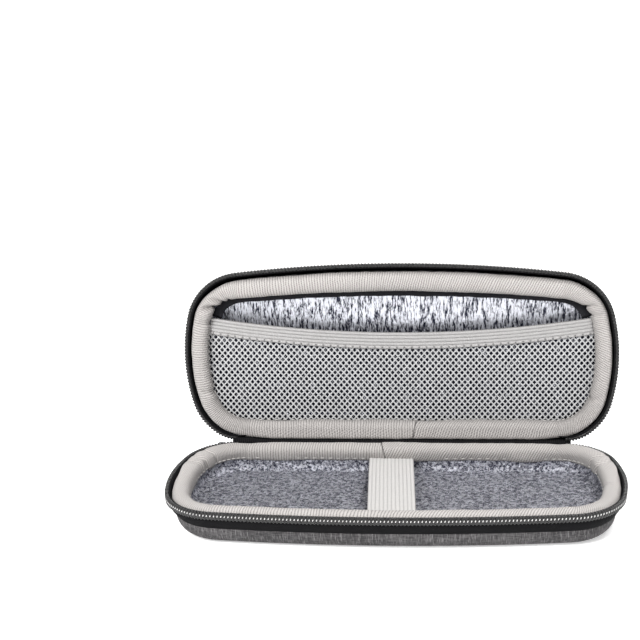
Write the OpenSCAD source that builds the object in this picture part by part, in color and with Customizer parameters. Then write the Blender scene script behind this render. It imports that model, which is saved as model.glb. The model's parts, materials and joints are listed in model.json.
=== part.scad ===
// Zipped hard case for a hand razor: two moulded shells joined by a fabric spine, shown open.
// Millimetres. X runs along the case, Y from the front edge to the spine, Z up from the table.
// The origin is on the table under the middle of the base.

/* [Case] */
// Length over both zip ends
case_len = 190; // [175:1:215]
// Width from the spine line to the middle of the front
case_w = 82; // [76:0.5:92]
// Height of one half, from its flat face to the parting plane
half_h = 16.5; // [15:0.5:24]
// Radius of the four corners, on the zip line
corner_r = 25.5; // [23:0.5:27]
// Half of the angle that the bowed front side turns through
front_turn = 6.5; // [3:0.5:8]
// Half of the angle that each bowed end turns through
end_turn = 14; // [10:1:18]
// Angle that the lid stands open
lid_open = 92; // [70:1:110]

/* [Shell] */
// Depth from the parting plane to the skin's rim
rim_h = 8.6; // [8:0.1:9]
// Inset of the skin's wall from the zip line
skin_inset = 4.2; // [4:0.1:4.6]
// Thickness of the outer fabric skin
skin_t = 1.0; // [0.8:0.1:1.2]
// Radius between the wall and the flat face
bottom_r = 7.5; // [6.5:0.1:7.9]
// Thickness of the foam wall
foam_t = 3.6; // [3:0.1:4]
// Thickness of the foam under the base's floor
base_floor_t = 4.2; // [2.5:0.1:5]
// Thickness of the foam behind the lid's floor
lid_floor_t = 2.6; // [2:0.1:4]
// Radius between the lining's wall and floor, at the foam
inner_r = 3; // [2:0.1:3.5]
// Thickness of the silver lining
lining_t = 0.5; // [0.3:0.1:0.8]

/* [Rim binding] */
// Inset of the binding's outer side from the zip line
binding_inset = 2.9; // [2.8:0.1:3.2]
// Thickness of the knit binding
binding_t = 0.9; // [0.7:0.1:1.1]
// Radius of the rolled top edge
roll_r = 2.9; // [2:0.1:3.1]
// Depth of the foam edge that the binding wraps
foam_edge_h = 5.6; // [5:0.1:6]
// Depth of the binding's inner hem
hem_h = 6.2; // [6.1:0.1:7]

/* [Zip] */
// Gap between each half and the parting plane
part_gap = 0.15; // [0.1:0.05:0.3]
// Inset of the coil from the zip line
coil_inset = 0.2; // [0.2:0.05:0.3]
// Thickness of the coil
coil_t = 1.5; // [1.2:0.1:1.5]
// Height of one half's coil
coil_h = 3.25; // [3:0.05:3.4]
// Thickness of the woven tape
tape_t = 0.5; // [0.4:0.1:0.5]
// Angle along each back corner, from the spine side, where the coil begins
coil_start = 24; // [24:1:30]
// Angle along each back corner, from the spine side, where the tape begins
tape_start = 12; // [12:1:16]

/* [Spine] */
// Inset of the hinge line from the zip line
hinge_inset = 1.9; // [1.6:0.1:2.1]
// Distance from the slider to the end of the fabric sleeve over the hinge
sleeve_end_gap = 5.8; // [1:0.1:12]
// Thickness of the sleeve
spine_t = 1.2; // [0.8:0.1:1.5]
// How far out the sleeve bows from the hinge line, when open
spine_bow = 4.6; // [4.2:0.1:6]
// Depth below the parting plane where the sleeve is sewn on
spine_sewn_h = 11.5; // [10:0.5:12.5]
// Gap between the sleeve and the shell
spine_gap = 0.3; // [0.2:0.05:0.4]

/* [Straps and pocket] */
// Width of the elastic strap across the base
strap_w = 18; // [12:1:24]
// Place of the elastic strap along the case
strap_x = -2; // [-20:1:20]
// Thickness of the elastic strap
strap_t = 1.0; // [0.8:0.1:1.5]
// Rise of the elastic strap's middle
strap_rise = 1.5; // [1:0.1:2]
// Number of ribs across the elastic strap
strap_ribs = 8; // [4:1:10]
// Distance from the spine line to the pocket band's upper edge, at its ends
band_y = 57; // [52:0.5:58]
// Width of the pocket's elastic band
band_w = 7.5; // [6:0.5:8]
// Sag of the band's middle
band_sag = 6.6; // [4:0.1:7]
// Thickness of the band
band_t = 1.1; // [0.8:0.1:1.3]
// Thickness of the pocket's net
net_t = 0.7; // [0.5:0.1:0.8]
// Spacing of the net's holes along the case
net_pitch_x = 6; // [5.4:0.1:7]
// Spacing of the net's rows
net_pitch_y = 4.2; // [3.8:0.1:5]
// Width of the cord left between the holes
net_cord = 1.2; // [0.8:0.1:1.4]

/* [Slider and wrist strap] */
// Length of the zip slider
slider_len = 8.4; // [7:0.1:9]
// Height of the slider's plate
slider_h = 6.7; // [6:0.1:7]
// Thickness of the slider's plate
slider_t = 1.1; // [0.9:0.1:1.3]
// Running clearance round the coil
run_gap = 0.25; // [0.2:0.05:0.3]
// Thickness of the ring puller's wire
wire_d = 1.0; // [0.8:0.1:1.2]
// Length of the ring puller between its two end bars
ring_len = 5; // [4.5:0.1:5.4]
// Height of the ring puller between its two arms
ring_h = 3.5; // [3.4:0.1:3.8]
// Width of the wrist strap's webbing
web_w = 6; // [5:0.5:7]
// Thickness of the wrist strap's webbing
web_t = 1.2; // [1:0.1:1.3]

/* [Hidden] */

// The zip line is a chain of arcs that meet smoothly: front, corners and ends, and a straight spine side.
spine_y = case_w / 2;
hinge_y = spine_y - hinge_inset;
front_tan = tan(front_turn / 2);
end_extra = (case_w - 2 * corner_r - (case_len / 2 - corner_r) * front_tan)
    / (2 * sin(end_turn) - (1 - cos(end_turn)) * front_tan);
end_r = corner_r + end_extra;
corner_x = case_len / 2 - corner_r - end_extra * (1 - cos(end_turn));
back_corner_y = spine_y - corner_r;
end_y = back_corner_y - end_extra * sin(end_turn);
front_corner_y = end_y - end_extra * sin(end_turn);
front_r = corner_r + corner_x / sin(front_turn);
front_centre_y = front_r - spine_y;
spine_len = 2 * (corner_x - slider_len / 2 - sleeve_end_gap);

// Heights, measured up from the table for the base
rim_z = half_h - rim_h;
foam_top_z = half_h - foam_edge_h;
hem_z = half_h - hem_h;
top_z = half_h - part_gap;
coil_z = top_z - coil_h;
tape_bend_z = coil_z - 1.1;
tape_top_z = half_h - 0.6;

// Insets from the zip line, outside to inside
skin_in = skin_inset + skin_t;
foam_in = skin_in + foam_t;
lining_in = foam_in + lining_t;
binding_in = lining_in + binding_t;
tape_inset = coil_inset + coil_t;

long_arc_fn = 900;
round_n = 4;

// Points of an arc round c, from angle a to angle b
function arc(c, r, a, b, n = round_n) =
    [for (i = [0:n]) c + r * [cos(a + (b - a) * i / n), sin(a + (b - a) * i / n)]];

// Stations along the zip line, each a point and its inward normal
function steps(a, b, n) = [for (i = [1:n]) a + (b - a) * i / n];
function stations(c, r, angles) = [for (a = angles) [c + r * [cos(a), sin(a)], -[cos(a), sin(a)]]];
function reversed(p) = [for (i = [len(p) - 1:-1:0]) p[i]];
function flipped(s) = [for (q = reversed(s)) [[-q[0].x, q[0].y], [-q[1].x, q[1].y]]];
function at(s, d) = s[0] + d * s[1];
front_middle = stations([0, front_centre_y], front_r, [-90]);
right_side = concat(
    stations([0, front_centre_y], front_r, steps(-90, -90 + front_turn, 3)),
    stations([corner_x, front_corner_y], corner_r, steps(-90 + front_turn, -end_turn, 7)),
    stations([case_len / 2 - end_r, end_y], end_r, steps(-end_turn, end_turn, 4)),
    stations([corner_x, back_corner_y], corner_r, steps(end_turn, 90 - coil_start, 6)));
right_tape = stations([corner_x, back_corner_y], corner_r, [90 - tape_start]);
right_back = stations([corner_x, back_corner_y], corner_r, [90]);
zip_path = concat(flipped(right_side), front_middle, right_side);
tape_path = concat(flipped(right_tape), zip_path, right_tape);
whole_path = concat(flipped(right_back), tape_path, right_back);
function outline(d) = [for (s = whole_path) at(s, d)];

// Side faces of a sweep: n stations of m profile points each, clockwise from outside
function sweep_points(profile, path) = [for (s = path, p = profile) [at(s, p.x).x, at(s, p.x).y, p.y]];
function side_face(i, j, k, l, m) = [i * m + k, i * m + l, j * m + l, j * m + k];

// A closed profile of [inset, height] points carried all the way round
module full_run(profile) {
    n = len(whole_path);
    m = len(profile);
    polyhedron(
        sweep_points(profile, whole_path),
        [for (i = [0:n - 1], k = [0:m - 1]) side_face(i, (i + 1) % n, k, (k + 1) % m, m)]);
}

// A closed profile carried along an open path, with its ends closed
module open_run(profile, path) {
    n = len(path);
    m = len(profile);
    polyhedron(
        sweep_points(profile, path),
        concat(
            [for (i = [0:n - 2], k = [0:m - 1]) side_face(i, i + 1, k, (k + 1) % m, m)],
            [[for (k = [m - 1:-1:0]) k], [for (k = [0:m - 1]) (n - 1) * m + k]]));
}

// A tray: from the middle of its underside out, up over the rim and down to its floor
module tray(profile) {
    n = len(whole_path);
    m = len(profile);
    polyhedron(
        sweep_points(profile, whole_path),
        concat(
            [for (i = [0:n - 1], k = [0:m - 2]) side_face(i, (i + 1) % n, k, k + 1, m)],
            [[for (i = [0:n - 1]) i * m], [for (i = [n - 1:-1:0]) i * m + m - 1]]));
}

// Moves a half drawn as a base to the lid's place: mirrored, then opened about the spine line
module as_lid() {
    translate([0, hinge_y, half_h])
        rotate([-lid_open, 0, 0])
            mirror([0, 0, 1])
                translate([0, -hinge_y, -half_h])
                    children();
}

// Outer skin: heather fabric, wall, rounded edge and flat face
round_centre = [skin_inset + bottom_r, bottom_r];
function inner_centre(floor_z) = [foam_in + inner_r, floor_z + inner_r];
skin_profile = concat(
    arc(round_centre, bottom_r, 270, 180),
    [[skin_inset, rim_z], [skin_in, rim_z]],
    arc(round_centre, bottom_r - skin_t, 180, 270));
module skin() {
    tray(skin_profile);
}

// Moulded foam: fills between skin and lining, with its edge standing up inside the binding
function foam_profile(floor_z) = concat(
    arc(round_centre, bottom_r - skin_t, 270, 180),
    [[skin_in, foam_top_z], [foam_in, foam_top_z]],
    arc(inner_centre(floor_z), inner_r, 180, 270));
module foam(floor_t) {
    tray(foam_profile(skin_t + floor_t));
}

// Silver lining over the foam's inside
function lining_profile(floor_z) = concat(
    arc(inner_centre(floor_z), inner_r, 270, 180),
    [[foam_in, foam_top_z], [lining_in, foam_top_z]],
    arc(inner_centre(floor_z), inner_r - lining_t, 180, 270));
module lining(floor_t) {
    tray(lining_profile(skin_t + floor_t));
}

// Soft pad along the rim, inside the binding
pad_out = binding_inset + binding_t;
pad_r = roll_r - binding_t;
pad_top_z = top_z - binding_t;
lean_z = half_h - 5;
lean_foot_z = rim_z + 1;
pad_profile = concat(
    arc([pad_out + pad_r, pad_top_z - pad_r], pad_r, 180, 90),
    arc([lining_in - pad_r, pad_top_z - pad_r], pad_r, 90, 0),
    [[lining_in, foam_top_z], [skin_in, foam_top_z], [skin_in, lean_foot_z], [pad_out, lean_z]]);
module rim_pad() {
    full_run(pad_profile);
}

// Knit binding wrapped over the pad, from the tape outside to the hem inside
foot_gap = 0.1;
binding_foot = skin_in - 0.4;
binding_profile = concat(
    [[binding_foot, rim_z + foot_gap], [binding_inset, lean_z - foot_gap]],
    arc([binding_inset + roll_r, top_z - roll_r], roll_r, 180, 90),
    arc([binding_in - roll_r, top_z - roll_r], roll_r, 90, 0),
    [[binding_in, hem_z], [lining_in, hem_z]],
    arc([lining_in - pad_r, pad_top_z - pad_r], pad_r, 0, 90),
    arc([pad_out + pad_r, pad_top_z - pad_r], pad_r, 90, 180),
    [[pad_out, lean_z], [skin_in, lean_foot_z], [skin_in, rim_z + foot_gap]]);
module binding() {
    full_run(binding_profile);
}

// Woven tape from the skin's rim out to the coil, with plain ends past the coil
tape_profile = [
    [skin_inset, rim_z], [tape_inset, tape_bend_z], [tape_inset, tape_top_z],
    [tape_inset + tape_t, tape_top_z], [tape_inset + tape_t, tape_bend_z], [skin_inset + tape_t, rim_z]
];
module zip_tape() {
    open_run(tape_profile, tape_path);
}

// Coil of the zip, along the tape's outer face
coil_chamfer = 0.4;
coil_profile = [
    [coil_inset, coil_z + coil_chamfer], [coil_inset, top_z - coil_chamfer], [coil_inset + coil_chamfer, top_z],
    [tape_inset, top_z], [tape_inset, coil_z], [coil_inset + coil_chamfer, coil_z]
];
module zip_coil() {
    open_run(coil_profile, zip_path);
}

// Ribbed elastic strap across the base, sewn under the binding's hem at both sides
strap_end_gap = 0.1;
strap_bow = 0.1;
strap_rib_h = 0.2;
strap_foot_z = hem_z + 0.4;
strap_span = case_w - 2 * binding_in - 2 * strap_end_gap - strap_bow;
strap_chord = strap_span / 2;
strap_arc_r = (strap_chord * strap_chord + strap_rise * strap_rise) / (2 * strap_rise);
strap_half_angle = asin(strap_chord / strap_arc_r);
strap_y = spine_y - binding_in - strap_end_gap - strap_chord;
rib = strap_w / (2 * strap_ribs - 1);
module strap_band(t, w) {
    rotate([0, 90, 0])
        rotate([0, 0, -strap_half_angle + 180])
            rotate_extrude(angle = 2 * strap_half_angle, $fn = long_arc_fn)
                translate([strap_arc_r, 0])
                    square([t, w]);
}
module elastic_strap() {
    color("ivory")
        translate([strap_x - strap_w / 2, strap_y, strap_foot_z - strap_arc_r + strap_rise])
            difference() {
                strap_band(strap_t, strap_w);
                for (i = [0:strap_ribs - 2])
                    translate([(2 * i + 1) * rib, 0, 0])
                        translate([0, 0, strap_t - strap_rib_h])
                            strap_band(strap_t, rib);
            }
}

// Sleeve over the hinge: a fabric strip sewn to both shells, drawn in the frame of the half-open angle
sewn_rise = bottom_r - half_h + spine_sewn_h;
sewn_in = round_centre.x - sqrt(bottom_r * bottom_r - pow(max(sewn_rise, 0), 2)) - spine_gap;
sewn_r = norm([sewn_in - hinge_inset, spine_sewn_h]);
sewn_angle = atan2(-spine_sewn_h, hinge_inset - sewn_in) + lid_open / 2;
function bow_point(k) = spine_bow + (sewn_r - spine_bow) * k * k;
function bow(extra, n = 12) = [for (i = [0:n])
    let (k = 1 - 2 * i / n) (bow_point(k) + extra) * [cos(k * sewn_angle), sin(k * sewn_angle)]];
module spine_strip(inner, outer, len) {
    translate([-len / 2, hinge_y, half_h])
        rotate([-lid_open / 2, 0, 0])
            rotate([90, 0, 90])
                linear_extrude(len)
                    polygon(concat(inner, outer));
}
module spine_cover() {
    color("slategray")
        spine_strip(bow(0), reversed(bow(spine_t)), spine_len);
}

// Inner tape along the hinge, from one rim to the other
function turn(p, a) = [p.x * cos(a) - p.y * sin(a), p.x * sin(a) + p.y * cos(a)];
function hinge_leg(extra) = [for (p = [
    [skin_inset, rim_z + foot_gap], [tape_inset, tape_bend_z], [tape_inset, tape_top_z]])
        turn([hinge_inset - p.x - extra, p.y - half_h], lid_open / 2)];
function both_legs(extra) = concat(hinge_leg(extra), [for (p = reversed(hinge_leg(extra))) [p.x, -p.y]]);
hinge_tape_len = 2 * corner_x + 4;
module hinge_tape() {
    color("#26262a")
        spine_strip(both_legs(0), reversed(both_legs(tape_t)), hinge_tape_len);
}

// Pocket in the lid: a net over the hinge side, with an elastic band along its mouth
net_gap = 0.15;
net_in = binding_in + net_gap;
net_z = hem_z + 0.2;
band_end_in = 4.3;
band_groove = 0.25;
mouth_lap = 1.5;
band_chord = case_len / 2 - binding_in - band_end_in;
band_r = (band_chord * band_chord + band_sag * band_sag) / (2 * band_sag);
band_turn = asin(band_chord / band_r);
band_top_y = spine_y - band_y + band_sag;
band_centre_y = band_top_y - band_r;
function inside_net(p) =
    p.y > net_mouth_y(p.x) + net_pitch_y && p.y < spine_y - net_in - net_pitch_y
    && norm([max(abs(p.x) - corner_x, 0), max(p.y - back_corner_y, 0)]) < corner_r - net_in - net_pitch_y;
function net_mouth_y(x) = band_centre_y + sqrt(pow(band_r + mouth_lap, 2) - x * x);
function diamond(p) = [
    p + [net_pitch_x / 2 - net_cord / 2, 0], p + [0, net_pitch_y / 2 - net_cord / 2],
    p - [net_pitch_x / 2 - net_cord / 2, 0], p - [0, net_pitch_y / 2 - net_cord / 2]
];
net_cols = floor(2 * band_chord / net_pitch_x / 2);
net_rows = ceil(band_y / net_pitch_y);
net_holes = [
    for (row = [0:net_rows], col = [-net_cols:net_cols])
        let (p = [(col + (row % 2) / 2) * net_pitch_x, spine_y - net_in - 1 - row * net_pitch_y])
            if (inside_net(p)) p
];
net_outline = concat(
    [for (i = [-12:12]) let (x = band_chord * i / 12) [x, net_mouth_y(x)]],
    [for (p = outline(net_in)) if (p.y > net_mouth_y(band_chord) + 1 && p.x > 0) p],
    [for (p = outline(net_in)) if (p.y > net_mouth_y(band_chord) + 1 && p.x < 0) p]);
net_points = concat(net_outline, [for (p = net_holes) each diamond(p)]);
net_paths = concat(
    [[for (i = [0:len(net_outline) - 1]) i]],
    [for (h = [0:len(net_holes) - 1]) [for (k = [0:3]) len(net_outline) + 4 * h + k]]);
module pocket_net() {
    color("lightgray")
        as_lid()
            translate([0, 0, net_z])
                linear_extrude(net_t)
                    polygon(net_points, net_paths);
}

// Ribbed band, which sags between its sewn ends
band_rib = band_w / 7;
module pocket_band() {
    color("gainsboro")
        as_lid()
            translate([0, band_centre_y, net_z + net_t])
                rotate([0, 0, 90 - band_turn])
                    rotate_extrude(angle = 2 * band_turn, $fn = long_arc_fn)
                        polygon(concat(
                            [[band_r, 0]],
                            [for (i = [0:3]) each [
                                [band_r + 2 * i * band_rib, band_t], [band_r + (2 * i + 1) * band_rib, band_t],
                                if (i < 3) [band_r + (2 * i + 1) * band_rib, band_t - band_groove],
                                if (i < 3) [band_r + (2 * i + 2) * band_rib, band_t - band_groove]
                            ]],
                            [[band_r + band_w, 0]]));
}

// Slider: an outer plate with a foot that hooks under the coil, and a bail for the ring
bail_z = half_h - 5.2;
plate_y = spine_y + run_gap - coil_inset;
ring_gap = 0.3;
ring_y = plate_y + slider_t + ring_gap + wire_d / 2;
bail_w = 1.6;
bail_bar = 0.8;
bail_foot_x = 2.2;
foot_t = 0.8;
foot_len = 6;
slider_top_z = half_h - 0.9;
module slider_plate() {
    translate([0, plate_y + slider_t, slider_top_z - slider_h / 2])
        rotate([90, 0, 0])
            linear_extrude(slider_t)
                polygon([
                    for (p = [[-0.5, -0.36], [-0.36, -0.5], [0.28, -0.5], [0.5, -0.3],
                        [0.5, 0.3], [0.28, 0.5], [-0.36, 0.5], [-0.5, 0.36]])
                        [p.x * slider_len, p.y * slider_h]
                ]);
}
module zip_slider() {
    foot_y = spine_y - tape_inset + ring_gap;
    bail_out = ring_y + wire_d / 2 + run_gap;
    color("dimgray")
        translate([-corner_x, 0, 0]) {
            slider_plate();
            translate([-foot_len / 2, foot_y, coil_z - run_gap - foot_t])
                cube([foot_len, plate_y + slider_t / 2 - foot_y, foot_t]);
            translate([-bail_foot_x - bail_bar, plate_y + slider_t / 2, bail_z - bail_w / 2])
                difference() {
                    cube([2 * (bail_foot_x + bail_bar), bail_out + bail_bar - plate_y - slider_t / 2, bail_w]);
                    translate([bail_bar, slider_t / 2, -1])
                        cube([2 * bail_foot_x, bail_out - plate_y - slider_t, bail_w + 2]);
                }
        }
}

// Ring puller: a wire loop through the bail, lying along the zip away from the sleeve
module wire(a, b) {
    d = b - a;
    translate(a)
        rotate([0, acos(d.z / norm(d)), atan2(d.y, d.x)])
            cylinder(d = wire_d, h = norm(d), $fn = 24);
}
module puller_ring() {
    corners = [[0, -ring_h / 2], [0, ring_h / 2], [-ring_len, ring_h / 2], [-ring_len, -ring_h / 2]];
    color("silver")
        translate([-corner_x, ring_y, bail_z])
            for (i = [0:3]) {
                a = corners[i];
                b = corners[(i + 1) % 4];
                wire([a.x, 0, a.y], [b.x, 0, b.y]);
                translate([a.x, 0, a.y])
                    sphere(d = wire_d, $fn = 24);
            }
}

// Wrist strap: one webbing loop from the ring down to the table and back, lying close behind the base
strap_route = [
    [-73.75, 43.75, 11.3], [-78, 44.45, 10.9], [-81.8, 47.05, 9.6], [-84, 51.75, 7.3], [-82.8, 56.85, 4.5],
    [-77.5, 61.45, 2.2], [-68, 64.55, 0.9], [-54, 66.45, 0.6], [-36, 67.55, 0.6], [-16, 68.15, 0.6],
    [4, 68.45, 0.6], [22, 68.45, 0.6], [33, 67.45, 0.6], [38.6, 63.85, 0.6], [38.8, 59.05, 0.6],
    [33.4, 55.45, 0.6], [22, 54.25, 0.6], [4, 54.05, 0.6], [-16, 54.25, 0.6], [-36, 54.65, 0.6],
    [-54, 55.45, 0.6], [-66, 55.85, 0.9], [-74, 54.85, 2.4], [-79.2, 51.85, 5], [-80.4, 48.05, 7.6],
    [-78, 43.65, 10.2], [-73.75, 42.15, 11.3]
];
module wrist_strap() {
    color("#3a3a3e")
        webbing(strap_route);
}
function catmull(p, i, t) = let (
    a = p[max(i - 1, 0)], b = p[i], c = p[i + 1], d = p[min(i + 2, len(p) - 1)])
    0.5 * (2 * b + (c - a) * t + (2 * a - 5 * b + 4 * c - d) * t * t + (3 * b - a - 3 * c + d) * t * t * t);
function dense(p, n) = concat(
    [for (i = [0:len(p) - 2], k = [0:n - 1]) catmull(p, i, k / n)], [p[len(p) - 1]]);
function unit(v) = v / norm(v);
function along(p, i) = unit(p[min(i + 1, len(p) - 1)] - p[max(i - 1, 0)]);
// The webbing stands on edge at the ring and lies flat on the table
function across(p, i) = let (
    t = along(p, i), flatness = max(0, min(1, (bail_z - 2 - p[i].z) / (bail_z - 4))),
    w = unit(flatness * unit([-t.y, t.x, 0]) + (1 - flatness) * [0, 0, 1]))
    unit(w - (w * t) * t);
function web_ring(p, i) = let (w = across(p, i), n = cross(along(p, i), w), full = web_full(p, i)) [
    for (q = [[0.5, -0.3], [0.5, 0.3], [0.44, 0.5], [-0.44, 0.5], [-0.5, 0.3], [-0.5, -0.3], [-0.44, -0.5], [0.44, -0.5]])
        p[i] + w * q.x * full + n * q.y * web_t
];
// The ring pinches the webbing to the width of its window, over the first points of the route
pinch_points = 6;
pinch_w = ring_h - wire_d - 0.1;
function web_full(p, i) = min(web_w, pinch_w + min(i, len(p) - 1 - i) / pinch_points * web_w / 2);
module webbing(route) {
    p = dense(route, 3);
    n = len(p);
    polyhedron(
        points = [for (i = [0:n - 1]) each web_ring(p, i)],
        faces = concat(
            [[for (k = [0:7]) k], [for (k = [7:-1:0]) 8 * (n - 1) + k]],
            [for (i = [0:n - 2], k = [0:7]) each [
                [8 * i + k, 8 * (i + 1) + k, 8 * (i + 1) + (k + 1) % 8],
                [8 * i + k, 8 * (i + 1) + (k + 1) % 8, 8 * i + (k + 1) % 8]
            ]]));
}

color("#7d7b7c") skin();  // base_skin
color("#4a4a4c") foam(base_floor_t);  // base_foam
color("#b5b8c4") lining(base_floor_t);  // base_lining
color("#d8d2cc") rim_pad();  // base_rim_pad
color("#bcb3ae") binding();  // base_binding
color("#232325") zip_tape();  // base_zip_tape
color("#151517") zip_coil();  // base_zip_coil
elastic_strap();
spine_cover();
hinge_tape();
color("#7d7b7c") as_lid() skin();  // lid_skin
color("#4a4a4c") as_lid() foam(lid_floor_t);  // lid_foam
color("#b5b8c4") as_lid() lining(lid_floor_t);  // lid_lining
color("#d8d2cc") as_lid() rim_pad();  // lid_rim_pad
color("#bcb3ae") as_lid() binding();  // lid_binding
color("#232325") as_lid() zip_tape();  // lid_zip_tape
color("#151517") as_lid() zip_coil();  // lid_zip_coil
pocket_net();
pocket_band();
zip_slider();
puller_ring();
wrist_strap();
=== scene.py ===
import json
import math
from math import cos, pi, radians, sin

import bmesh
import bpy
from mathutils import Matrix, Vector, noise


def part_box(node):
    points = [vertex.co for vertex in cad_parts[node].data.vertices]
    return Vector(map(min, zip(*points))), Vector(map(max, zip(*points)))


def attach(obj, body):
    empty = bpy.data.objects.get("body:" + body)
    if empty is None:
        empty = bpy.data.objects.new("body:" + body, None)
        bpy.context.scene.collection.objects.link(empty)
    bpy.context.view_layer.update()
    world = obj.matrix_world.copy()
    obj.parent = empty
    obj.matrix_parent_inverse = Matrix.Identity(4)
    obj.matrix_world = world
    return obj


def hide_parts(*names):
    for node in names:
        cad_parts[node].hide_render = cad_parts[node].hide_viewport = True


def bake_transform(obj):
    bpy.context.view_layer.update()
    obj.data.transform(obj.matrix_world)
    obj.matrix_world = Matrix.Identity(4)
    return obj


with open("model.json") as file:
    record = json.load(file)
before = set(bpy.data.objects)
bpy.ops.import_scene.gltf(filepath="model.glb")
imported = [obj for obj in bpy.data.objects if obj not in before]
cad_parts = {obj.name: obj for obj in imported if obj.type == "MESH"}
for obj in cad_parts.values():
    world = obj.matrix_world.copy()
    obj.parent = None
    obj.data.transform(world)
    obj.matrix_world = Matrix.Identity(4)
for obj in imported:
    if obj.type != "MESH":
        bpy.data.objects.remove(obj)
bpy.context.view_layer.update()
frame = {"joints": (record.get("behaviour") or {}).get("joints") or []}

# Zip line: both half shells are cut to one outline, with a bowed front, bowed ends, round corners and a
# straight spine side. Each piece on a rim is a section carried round this line, and the lid is the base's
# half mirrored and turned up about the hinge.
MM = 0.001
LENGTH = 190 * MM
WIDTH = 82 * MM
HALF_H = 16.5 * MM
CORNER_R = 25.5 * MM
FRONT_TURN = radians(6.5)
END_TURN = radians(14)
LID_OPEN = radians(92)
STEP = 1.8 * MM
hinge = Vector(next(j["pos_m"] for j in frame["joints"] if j["name"] == "lid_hinge"))
spine_y = WIDTH / 2
front_tan = math.tan(FRONT_TURN / 2)
end_extra = (WIDTH - 2 * CORNER_R - (LENGTH / 2 - CORNER_R) * front_tan) / (
    2 * sin(END_TURN) - (1 - cos(END_TURN)) * front_tan)
end_r = CORNER_R + end_extra
corner_x = LENGTH / 2 - CORNER_R - end_extra * (1 - cos(END_TURN))
back_corner_y = spine_y - CORNER_R
end_y = back_corner_y - end_extra * sin(END_TURN)
front_corner_y = end_y - end_extra * sin(END_TURN)
front_r = CORNER_R + corner_x / sin(FRONT_TURN)
# Right half's arcs: centre x and y, radius, first and last angle
ARCS = [
    (0, front_r - spine_y, front_r, -pi / 2, FRONT_TURN - pi / 2),
    (corner_x, front_corner_y, CORNER_R, FRONT_TURN - pi / 2, -END_TURN),
    (LENGTH / 2 - end_r, end_y, end_r, -END_TURN, END_TURN),
    (corner_x, back_corner_y, CORNER_R, END_TURN, pi / 2),
]
arc_run = sum(r * (last - first) for _, _, r, first, last in ARCS)
half_run = arc_run + corner_x
TO_LID = (Matrix.Translation(hinge) @ Matrix.Rotation(-LID_OPEN, 4, "X")
          @ Matrix.Scale(-1, 4, (0, 0, 1)) @ Matrix.Translation(-hinge))
HALVES = ("base", "lid")


def arc(x, z, r, first, last, n=6):
    """Section points on an arc, from an angle in degrees to another."""
    angles = [radians(first + (last - first) * i / n) for i in range(n + 1)]
    return [(x + r * cos(angle), z + r * sin(angle)) for angle in angles]


def on_line(x, y):
    """How far along the line a point lies, from the middle of the front, and how far inside it."""
    if abs(x) < corner_x and y > back_corner_y:
        return arc_run + corner_x - abs(x), spine_y - y
    done = 0
    for cx, cy, r, first, last in ARCS:
        angle = math.atan2(y - cy, abs(x) - cx)
        if angle <= last or last == pi / 2:
            return done + r * (angle - first), r - math.hypot(y - cy, abs(x) - cx)
        done += r * (last - first)


def spot(run, inset=0.0, z=0.0):
    """The place of something fixed on the line: its X runs along, its Y points inward."""
    left = abs(run)
    for cx, cy, r, first, last in ARCS:
        angle = first + left / r
        if angle <= last:
            break
        left -= r * (last - first)
    else:
        cx = corner_x - left
        angle = pi / 2
    side = 1 if run >= 0 else -1
    across = Vector((-side * cos(angle), -sin(angle), 0))
    place = Vector((side * cx, cy, z)) - (r - inset) * across
    turned = Matrix(((across.y, across.x, 0), (-across.x, across.y, 0), (0, 0, 1))).to_4x4()
    return Matrix.Translation(place) @ turned


def chain(bm, points, closed=True):
    """New vertices at the points and the edges between them, round to the first where it is closed."""
    ring = [bm.verts.new(point) for point in points]
    return ring + [bm.edges.new(pair) for pair in zip(ring, ring[1:] + ring[:closed])]


def drawn(bm, geom, matrix):
    """Extrudes the edges, moves the new ones by a matrix and returns them with their vertices."""
    edges = [g for g in geom if isinstance(g, bmesh.types.BMEdge)]
    new = bmesh.ops.extrude_edge_only(bm, edges=edges)["geom"]
    last = [g for g in new if not isinstance(g, bmesh.types.BMFace)]
    bmesh.ops.transform(bm, matrix=matrix, verts=[g for g in last if isinstance(g, bmesh.types.BMVert)])
    return last


def shut(bm):
    """Fills the open ends and turns the faces outwards."""
    bmesh.ops.holes_fill(bm, edges=[e for e in bm.edges if e.is_boundary])
    bmesh.ops.recalc_face_normals(bm, faces=bm.faces)


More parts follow.
